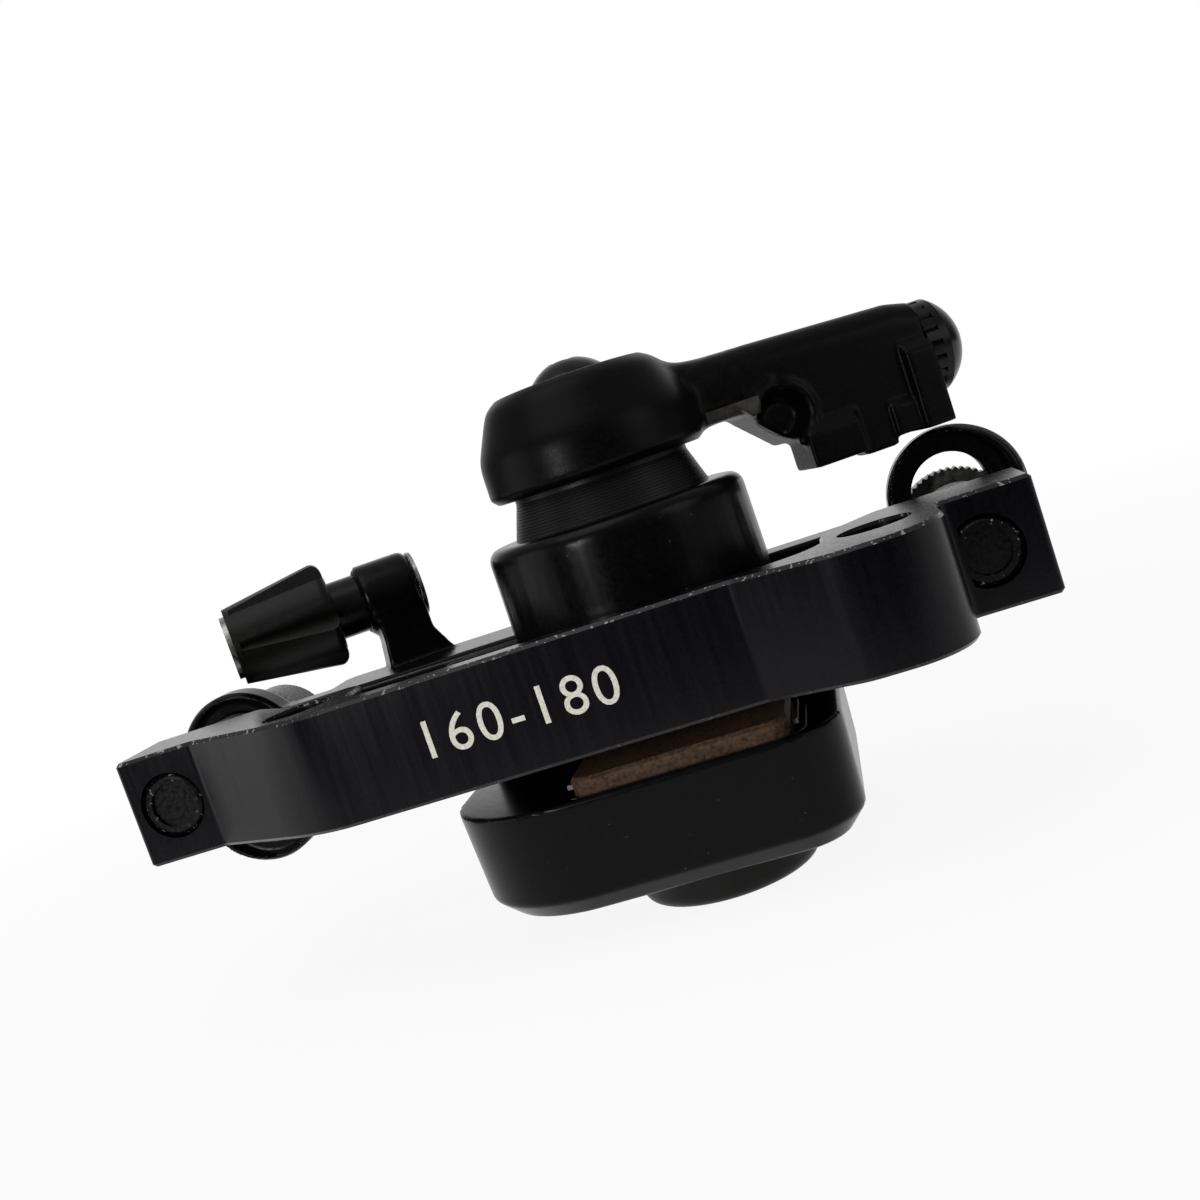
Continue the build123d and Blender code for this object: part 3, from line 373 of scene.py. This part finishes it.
def tipped_bolts():
    """Black oxide screws whose cut tips show pale specks: partly wear, partly painted glints."""
    made, tree, shader, coords = begin("Steel screw, black oxide", "#060707", 0.0, 0.26, 0.18)
    blotch = noise(tree, coords, 0.4, 5.0)
    tips = band(tree, coords, "Y", TIP_PLACE - EDGE_WIDE, TIP_PLACE + EDGE_WIDE)
    shade = shades(tree, blotch, "#040505", "#0d0e0d")
    tip_wear_and_glints = combine(tree, tips, combine(tree, blotch, 0.66, "GREATER_THAN"))
    # Pale specks on the tips: bare metal from wear, and painted glints as if the tips caught the
    # light
    colour(tree, shader, over(tree, tip_wear_and_glints, shade, "#8d8e88"))
    vary(tree, shader, "Roughness", blotch, 0.2, 0.36)
    emboss(tree, shader, blotch, 0.08, 0.03)
    return made


def bright_steel():
    """Ground bearing steel: clean grey with fine scratches."""
    made, tree, shader, coords = begin("Ground steel, bright", "#b4b4b4", 1.0, 0.24)
    vary(tree, shader, "Roughness", noise(tree, coords, 0.3), 0.16, 0.34)
    return made


def bright_aluminium():
    """Turned aluminium left bright: silvery, dulled in spots."""
    made, tree, shader, coords = begin("Turned aluminium, bright", "#a9a9a4", 1.0, 0.3)
    spots = noise(tree, coords, 0.35)
    colour(tree, shader, shades(tree, spots, "#7c7c78", "#b9b9b4"))
    vary(tree, shader, "Roughness", spots, 0.24, 0.42)
    return made


def dark_washer():
    """Hardened steel washer, black zinc: greasy grey on its raised edges."""
    made, tree, shader, coords = begin("Hardened steel, black zinc", "#3a3b39", 0.3, 0.34, 0.4)
    cloud = noise(tree, coords, 0.6)
    colour(tree, shader, shades(tree, cloud, "#242523", "#5b5c58"))
    vary(tree, shader, "Roughness", cloud, 0.26, 0.46)
    return made


def zinc_steel():
    """Pressed spring steel, zinc plated: dull grey."""
    made, tree, shader, coords = begin("Spring steel, zinc plated", "#8c8f92", 1.0, 0.4)
    vary(tree, shader, "Roughness", noise(tree, coords, 0.8, 3.0), 0.3, 0.5)
    return made


def pad_plate_steel():
    """Stamped steel backing plate, dark phosphate."""
    made, tree, shader, coords = begin("Stamped steel, phosphate", "#1d1e1e", 0.4, 0.5)
    cloud = noise(tree, coords, 0.5)
    colour(tree, shader, shades(tree, cloud, "#151616", "#2a2b2a"))
    vary(tree, shader, "Roughness", cloud, 0.42, 0.58)
    return made


def sintered_lining():
    """Sintered copper lining: brown, gritty, with dark and bright grains."""
    made, tree, shader, coords = begin("Sintered copper lining", "#5a4032", 0.2, 0.7)
    grit = noise(tree, coords, 0.35, 6.0)
    colour(tree, shader, shades(tree, grit, "#38271d", "#7d5f48"))
    vary(tree, shader, "Roughness", grit, 0.6, 0.8)
    emboss(tree, shader, grit, 0.6, 0.08)
    return made


def moulded_black():
    """Moulded black acetal: satin, greenish grey in the light, a faint grain."""
    made, tree, shader, coords = begin("Moulded acetal, black", "#090a08", 0.0, 0.36, 0.17)
    grain = noise(tree, coords, 0.4)
    colour(tree, shader, shades(tree, grain, "#080907", "#10110e"))
    vary(tree, shader, "Roughness", grain, 0.34, 0.46)
    emboss(tree, shader, grain, 0.15, 0.03)
    return made


def moulded_nylon():
    """Moulded natural nylon: creamy and dull."""
    made, tree, shader, coords = begin("Moulded nylon, natural", "#cfc8b4", 0.0, 0.45)
    vary(tree, shader, "Roughness", noise(tree, coords, 0.5, 2.0), 0.38, 0.52)
    return made


def bearing_bronze():
    """Sintered bronze bush: warm, oily metal."""
    made, tree, shader, coords = begin("Sintered bronze, oiled", "#a87a3c", 1.0, 0.35)
    vary(tree, shader, "Roughness", noise(tree, coords, 0.3, 3.0), 0.28, 0.45)
    return made


def seal_rubber():
    """Moulded nitrile rubber: matt black."""
    made, tree, shader, coords = begin("Moulded nitrile rubber", "#141414", 0.0, 0.7)
    vary(tree, shader, "Roughness", noise(tree, coords, 0.4, 3.0), 0.6, 0.8)
    return made


def etched_silver():
    """Laser-etched anodising: the bare metal's pale grey, flat and dry, a little broken."""
    made, tree, shader, coords = begin("Etched marking, pale grey", "#dedbd0", 0.0, 0.6, 0.3)
    speckle = noise(tree, coords, 0.25)
    colour(tree, shader, shades(tree, speckle, "#c9c6ba", "#efece2"))
    return made


SLOT_FINISHES = {
    "black_anodised": anodised_plate,
    "cast_black": coated_casting,
    "turned_black": turned_collar,
    "black_steel": oxide_steel,
    "washer_steel": dark_washer,
    "bright_steel": bright_steel,
    "bright_aluminium": bright_aluminium,
    "spring_steel": zinc_steel,
    "pad_steel": pad_plate_steel,
    "lining": sintered_lining,
    "bronze": bearing_bronze,
    "seal_rubber": seal_rubber,
    "cage_plastic": moulded_nylon,
    "black_plastic": moulded_black,
    "barrel_black": oxide_steel,
}
NODE_FINISHES = {
    "mounting_bolts": tipped_bolts,
    "lever_arm": forged_lever,
    "knurled_washers": dark_washer,
}
finishes = {}


def finish_for(slot, node):
    """The material of a record slot, or of a node that has its own, made once."""
    maker = NODE_FINISHES.get(node, SLOT_FINISHES[slot])
    if maker not in finishes:
        finishes[maker] = maker()
    return finishes[maker]


def node_slots():
    """Each node's material slot, from the record."""
    return {entry["node"]: entry["material_slot"] for entry in frame["record"]["subparts"]}


def merged_copy(node):
    """A bmesh of a node's triangles, joined at their corners."""
    form = bmesh.new()
    form.from_mesh(frame["nodes"][node].data)
    bmesh.ops.remove_doubles(form, verts=form.verts, dist=JOIN_REACH * MM)
    return form


def stand(name, data):
    """A new object of some data, linked to the scene."""
    made = bpy.data.objects.new(name, data)
    bpy.context.scene.collection.objects.link(made)
    return made


def new_piece(name, form, body, finish):
    """Makes an object of a finished bmesh that rides on a body."""
    mesh = bpy.data.meshes.new(name)
    form.to_mesh(mesh)
    form.free()
    piece = stand(name, mesh)
    mesh.materials.append(finish)
    mesh.shade_smooth()
    mesh.set_sharp_from_angle(angle=SHARP_ANGLE)
    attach(piece, body)
    return piece


def settle(piece):
    """Makes a piece's modifiers part of its mesh."""
    graph = bpy.context.evaluated_depsgraph_get()
    mesh = bpy.data.meshes.new_from_object(piece.evaluated_get(graph), depsgraph=graph)
    piece.modifiers.clear()
    piece.data = mesh


def rub(form, near, rounds):
    """Rubs down a part of a form, as a forging's edges and joins are."""
    for _ in range(rounds):
        bmesh.ops.smooth_vert(
            form,
            verts=near,
            factor=RUB_FACTOR,
            use_axis_x=True,
            use_axis_y=True,
            use_axis_z=True,
        )


def beads(form, points, radius_mm):
    """A rounded rib along points, as overlapping balls that the casting's cells join."""
    for point in points:
        bmesh.ops.create_icosphere(
            form, subdivisions=2, radius=radius_mm * MM, matrix=Matrix.Translation(point)
        )


def on_lever(along_mm, side_mm, up_mm):
    """A point in the lever's own directions: along the arm, towards the hub, and up."""
    along = Vector((math.cos(LEVER_TURN), math.sin(LEVER_TURN), 0))
    side = Vector((math.sin(LEVER_TURN), -math.cos(LEVER_TURN), 0))
    return (along * along_mm + side * side_mm + Vector((0, 0, up_mm))) * MM


def lever_ribs(form):
    """The arc round the lever's hollow and the short rib above it."""
    along, _, up = HOLLOW
    arc = [
        on_lever(
            along + ARC_R * math.cos(math.radians(turn)),
            ARM_FACE - ARC_SINK,
            up + ARC_R * math.sin(math.radians(turn)),
        )
        for turn in ARC_TURNS
    ]
    beads(form, arc, ARC_BEAD_R)
    rib = [
        on_lever(
            along + RIB_START[0] + step * RIB_STEP[0],
            ARM_FACE - RIB_SINK,
            up + RIB_START[1] + step * RIB_STEP[1],
        )
        for step in range(RIB_COUNT)
    ]
    beads(form, rib, RIB_BEAD_R)


def deepen_dishes(piece):
    """Presses the floors of the ears' dishes deeper, so that they clear the washers. It
    takes the ears' walls at that depth along."""
    low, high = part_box("cone_washers")
    left = low.x + DISH_WIDE * MM
    right = high.x - DISH_WIDE * MM
    form = bmesh.new()
    form.from_mesh(piece.data)
    dishes = [
        v
        for v in form.verts
        if abs(v.co.y - high.y) < DISH_REACH * MM and (v.co.x < left or v.co.x > right)
    ]
    bmesh.ops.translate(form, verts=dishes, vec=(0, DISH_PRESS * MM, 0))
    form.to_mesh(piece.data)
    form.free()


def forge_lever(piece):
    """Presses the hollow into the lever's arm, and rubs down its head, neck and hollow."""
    form = bmesh.new()
    form.from_mesh(piece.data)
    middle = on_lever(*HOLLOW)
    floor = [v for v in form.verts if (v.co - middle).length < HOLLOW_REACH * MM]
    bmesh.ops.translate(form, verts=floor, vec=on_lever(0.0, -HOLLOW_PRESS, 0.0))
    for place, rings in RUBBED_PLACES:
        centre = on_lever(*place)
        for reach_mm, rounds in rings:
            near = [v for v in form.verts if (v.co - centre).length < reach_mm * MM]
            rub(form, near, rounds)
    inner, outer = (out * MM for out in HEAD_BAND)
    head = [
        v
        for v in form.verts
        if inner < v.co.xy.length < outer and v.co.z > HEAD_LOW * MM
    ]
    rub(form, head, HEAD_ROUNDS)
    form.to_mesh(piece.data)
    form.free()


class CaliperSizes(bpy.types.PropertyGroup):
    """Sizes that a user may change."""

    grain: FloatProperty(
        name="Casting grain",
        description="Edge of the cells that round a casting's corners",
        default=0.22 * MM,
        unit="LENGTH",
    )
    marking_height: FloatProperty(
        name="Marking height",
        description="Height of the size numbers on the bracket",
        default=3.3 * MM,
        unit="LENGTH",
    )
    marking_place: FloatVectorProperty(
        name="Marking place",
        description="Middle of the numbers on the bracket's front, along X and Z",
        size=2,
        default=(-10.0 * MM, 6.6 * MM),
        subtype="TRANSLATION",
    )
    marking: StringProperty(
        name="Marking",
        description="Plain rotor sizes in millimetres on the bracket's front",
        default="160-180",
    )


class CaliperStudio(bpy.types.PropertyGroup):
    """Camera, lamps and floor."""

    eye: FloatVectorProperty(
        name="Camera place",
        description="Where the camera stands in the part's frame",
        default=(19.04 * MM, -122.64 * MM, 23.45 * MM),
        subtype="TRANSLATION",
    )
    lens: FloatProperty(
        name="Lens",
        description="Focal length on a 36 mm wide sensor, in millimetres",
        default=42.06,
    )
    backdrop: FloatVectorProperty(
        name="Backdrop",
        description="Colour behind the part",
        default=(1.0, 1.0, 1.0),
        subtype="COLOR",
    )
    lamps: FloatProperty(name="Lamps", description="Strength of all lamps together", default=1.0)
    shadow: FloatProperty(
        name="Shadow",
        description="Share of the floor's colour that its own shadow can darken",
        default=0.1,
        subtype="FACTOR",
    )


# Lamps: name, direction from the part, distance and diameter in millimetres, brightness
LAMPS = (
    ("Left_softbox", (-0.95, -0.28, 0.12), 260, 180, 1.0),
    ("Front_left_lamp", (-0.42, -0.88, 0.14), 260, 50, 24.0),
    ("Top_softbox", (-0.20, -0.35, 0.92), 260, 220, 1.1),
    ("Right_softbox", (0.86, -0.42, 0.28), 260, 150, 1.1),
)

# The floor, in millimetres: width, front edge, drop under the part, and where it whitens
FLOOR_WIDE = 1200
FLOOR_FRONT = -105
FLOOR_DROP = 0.05
FADE_START = 90
FADE_END = 250

# The camera: sensor and nearest distance in millimetres, shift, and its right and back
SENSOR_WIDE = 36.0
NEAREST = 5
LENS_SHIFT = (0.0034, 0.0074)
CAMERA_RIGHT = (0.9356, 0.1455, -0.3218)
CAMERA_BACK = (0.1859, -0.9776, 0.0985)

# The room: the ceiling's rise and its light, and where mirrored rays meet the backdrop
CEILING_RISE = (-0.1, 1.0)
CEILING_LIGHT = (0.015, 0.6)
BACKDROP_RISE = (0.6, 0.85)


class CALIPER_OT_stage(bpy.types.Operator):
    """Makes the camera, the lamps, the floor and the world"""

    bl_idname = "caliper.stage"
    bl_label = "Studio"

    def execute(self, context):
        studio = context.scene.caliper_studio
        scene = context.scene
        scene.view_settings.view_transform = "Standard"
        low, high = (Vector(corner) for corner in cad_box)
        self.camera(scene, studio)
        self.light(studio, (low + high) / 2)
        self.world(scene, studio)
        self.floor(studio, low.z)
        return {"FINISHED"}

    def camera(self, scene, studio):
        """The camera, as it was fitted to the photograph."""
        lens = bpy.data.cameras.new("Camera")
        lens.lens = studio.lens
        lens.sensor_width = SENSOR_WIDE
        lens.sensor_fit = "HORIZONTAL"
        lens.shift_x, lens.shift_y = LENS_SHIFT
        lens.clip_start = NEAREST * MM
        right = Vector(CAMERA_RIGHT).normalized()
        back = Vector(CAMERA_BACK).normalized()
        up = back.cross(right).normalized()
        turn = Matrix((right, up, back)).transposed().to_4x4()
        camera = stand("Camera", lens)
        camera.matrix_world = Matrix.Translation(studio.eye) @ turn
        scene.camera = camera

    def light(self, studio, middle):
        """The lamps, all turned to the middle of the part."""
        for name, direction, distance, wide, bright in LAMPS:
            lamp = bpy.data.lights.new(name, "AREA")
            lamp.shape = "DISK"
            lamp.size = wide * MM
            lamp.energy = bright * studio.lamps * math.pi * (wide * MM) ** 2
            holder = stand(name, lamp)
            holder.location = middle + Vector(direction).normalized() * distance * MM
            aim = middle - holder.location
            holder.rotation_euler = aim.to_track_quat("-Z", "Y").to_euler()

    def background_rays(self, tree):
        """Which rays see the white background: the camera's, and those off metal or glass."""
        ray = add_node(tree, "ShaderNodeLightPath")
        mirrored = combine(
            tree, ray.outputs["Is Glossy Ray"], ray.outputs["Is Transmission Ray"], "MAXIMUM"
        )
        return ray.outputs["Is Camera Ray"], mirrored

    def world(self, scene, studio):
        """A white backdrop behind the part, and a dim room with a lighter ceiling round it."""
        world = bpy.data.worlds.new("Studio")
        scene.world = world
        world.use_nodes = True
        tree = world.node_tree
        tree.nodes.clear()
        sky = add_node(tree, "ShaderNodeTexCoord")
        way = add_node(tree, "ShaderNodeSeparateXYZ", links={"Vector": sky.outputs["Generated"]})
        ceiling = carry(tree, way.outputs["Z"], CEILING_RISE, CEILING_LIGHT)
        behind = carry(tree, way.outputs["Y"], BACKDROP_RISE)
        seen, mirrored = self.background_rays(tree)
        mirrored = combine(tree, mirrored, behind)
        room = add_node(
            tree, "ShaderNodeBackground", {"Color": (1, 1, 1, 1)}, {"Strength": ceiling}
        )
        white = add_node(
            tree, "ShaderNodeBackground", {"Color": (*studio.backdrop, 1.0), "Strength": 1.0}
        )
        share = combine(tree, seen, mirrored, "MAXIMUM")
        both = blend(tree, share, room.outputs[0], white.outputs[0])
        add_node(tree, "ShaderNodeOutputWorld", links={"Surface": both})

    def floor(self, studio, low):
        """A pale floor just under the part, all white further out."""
        form = bmesh.new()
        bmesh.ops.create_grid(form, x_segments=1, y_segments=1, size=FLOOR_WIDE / 2 * MM)
        back = (FLOOR_FRONT + FLOOR_WIDE / 2) * MM
        bmesh.ops.translate(form, verts=form.verts, vec=(0, back, low - FLOOR_DROP * MM))
        mesh = bpy.data.meshes.new("floor")
        form.to_mesh(mesh)
        form.free()
        floor = stand("floor", mesh)
        made, tree, shader, coords = begin("Paper sweep, white", "#f4f4f2", 0.0, 0.8)
        seen, mirrored = self.background_rays(tree)
        glow = add_node(tree, "ShaderNodeEmission", {"Color": (1, 1, 1, 1), "Strength": 1.0})
        reach = add_node(tree, "ShaderNodeVectorMath", links={0: coords}, operation="LENGTH")
        fade = carry(
            tree,
            reach.outputs["Value"],
            (FADE_START * MM, FADE_END * MM),
            (1.0 - studio.shadow, 1.0),
        )
        share = combine(tree, combine(tree, seen, mirrored, "MAXIMUM"), fade)
        both = blend(tree, share, shader.outputs[0], glow.outputs[0])
        tree.links.new(both, tree.nodes["Material Output"].inputs["Surface"])
        mesh.materials.append(made)


class CALIPER_OT_finishes(bpy.types.Operator):
    """Gives every kept part its finish"""

    bl_idname = "caliper.finishes"
    bl_label = "Finishes"

    def execute(self, context):
        for node, slot in node_slots().items():
            for holder in frame["nodes"][node].material_slots:
                holder.material = finish_for(slot, node)
        return {"FINISHED"}


# Castings: node, the body that carries it, size of its cells against the grain, share kept
CASTINGS = (
    ("outer_housing", "caliper", 1.1, 0.45),
    ("inner_housing", "caliper", 1.1, 0.6),
    ("lever_arm", "lever", 0.9, 1.0),
)


class CALIPER_OT_castings(bpy.types.Operator):
    """Makes the castings and the lever with rounded edges"""

    bl_idname = "caliper.castings"
    bl_label = "Castings"

    def execute(self, context):
        sizes = context.scene.caliper_sizes
        for node, body, cell_share, kept_share in CASTINGS:
            finish = finish_for("cast_black", node)
            form = merged_copy(node)
            if node == "lever_arm":
                lever_ribs(form)
            piece = new_piece("cast_" + node, form, body, finish)
            cells = piece.modifiers.new("Cells", "REMESH")
            cells.mode = "VOXEL"
            cells.voxel_size = sizes.grain * cell_share
            cells.use_smooth_shade = True
            soften = piece.modifiers.new("Soften", "SMOOTH")
            soften.factor = SOFTEN_FACTOR
            soften.iterations = SOFTEN_ROUNDS
            if kept_share < 1.0:
                fewer = piece.modifiers.new("Fewer", "DECIMATE")
                fewer.ratio = kept_share
            settle(piece)
            if node == "lever_arm":
                forge_lever(piece)
            if node == "outer_housing":
                deepen_dishes(piece)
            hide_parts(node)
        return {"FINISHED"}


# The marking: a digit's share of the font's size, spacing, and in millimetres the letters'
# depth, their lift off the face, and how far to each side the face is looked for
DIGIT_SHARE = 0.72
LETTER_SPACING = 1.16
LETTER_DEEP = 0.02
LETTER_LIFT = 0.005
FACE_REACH = 18


class CALIPER_OT_marking(bpy.types.Operator):
    """Writes the plain rotor sizes on the bracket's front"""

    bl_idname = "caliper.marking"
    bl_label = "Size marking"

    def execute(self, context):
        sizes = context.scene.caliper_sizes
        words = bpy.data.curves.new("marking", "FONT")
        words.body = sizes.marking
        words.size = sizes.marking_height / DIGIT_SHARE
        words.extrude = LETTER_DEEP * MM
        words.align_x = "CENTER"
        words.align_y = "CENTER"
        words.space_character = LETTER_SPACING
        holder = stand("marking_words", words)
        graph = context.evaluated_depsgraph_get()
        form = bmesh.new()
        form.from_mesh(holder.evaluated_get(graph).to_mesh())
        bpy.data.objects.remove(holder)
        across, up = sizes.marking_place
        front = min(
            v.co.y
            for v in frame["nodes"]["mount_bracket"].data.vertices
            if abs(v.co.x - across) < FACE_REACH * MM
        )
        turn = Matrix.Rotation(math.radians(90), 4, "X")
        place = Matrix.Translation(Vector((across, front - LETTER_LIFT * MM, up)))
        bmesh.ops.transform(form, matrix=place @ turn, verts=form.verts)
        new_piece("size_marking", form, "bracket", etched_silver())
        return {"FINISHED"}


class CALIPER_PT_panel(bpy.types.Panel):
    """Lists the steps that dress the caliper"""

    bl_label = "Caliper"
    bl_space_type = "VIEW_3D"
    bl_region_type = "UI"
    bl_category = "Caliper"

    def draw(self, context):
        for step in STEPS:
            self.layout.operator(step.bl_idname)
        for name in ("grain", "marking_height", "marking_place", "marking"):
            self.layout.prop(context.scene.caliper_sizes, name)
        for name in ("eye", "lens", "backdrop", "lamps", "shadow"):
            self.layout.prop(context.scene.caliper_studio, name)


STEPS = (CALIPER_OT_finishes, CALIPER_OT_castings, CALIPER_OT_marking, CALIPER_OT_stage)
CLASSES = (CaliperSizes, CaliperStudio, *STEPS, CALIPER_PT_panel)


def register():
    """Adds the classes and the scene's settings."""
    for made in CLASSES:
        bpy.utils.register_class(made)
    bpy.types.Scene.caliper_sizes = bpy.props.PointerProperty(type=CaliperSizes)
    bpy.types.Scene.caliper_studio = bpy.props.PointerProperty(type=CaliperStudio)


def unregister():
    """Takes the settings and the classes away again."""
    del bpy.types.Scene.caliper_studio
    del bpy.types.Scene.caliper_sizes
    for made in reversed(CLASSES):
        bpy.utils.unregister_class(made)


def main():
    """Runs every step."""
    register()
    for step in STEPS:
        group, name = step.bl_idname.split(".")
        getattr(getattr(bpy.ops, group), name)()


if __name__ == "__main__":
    main()
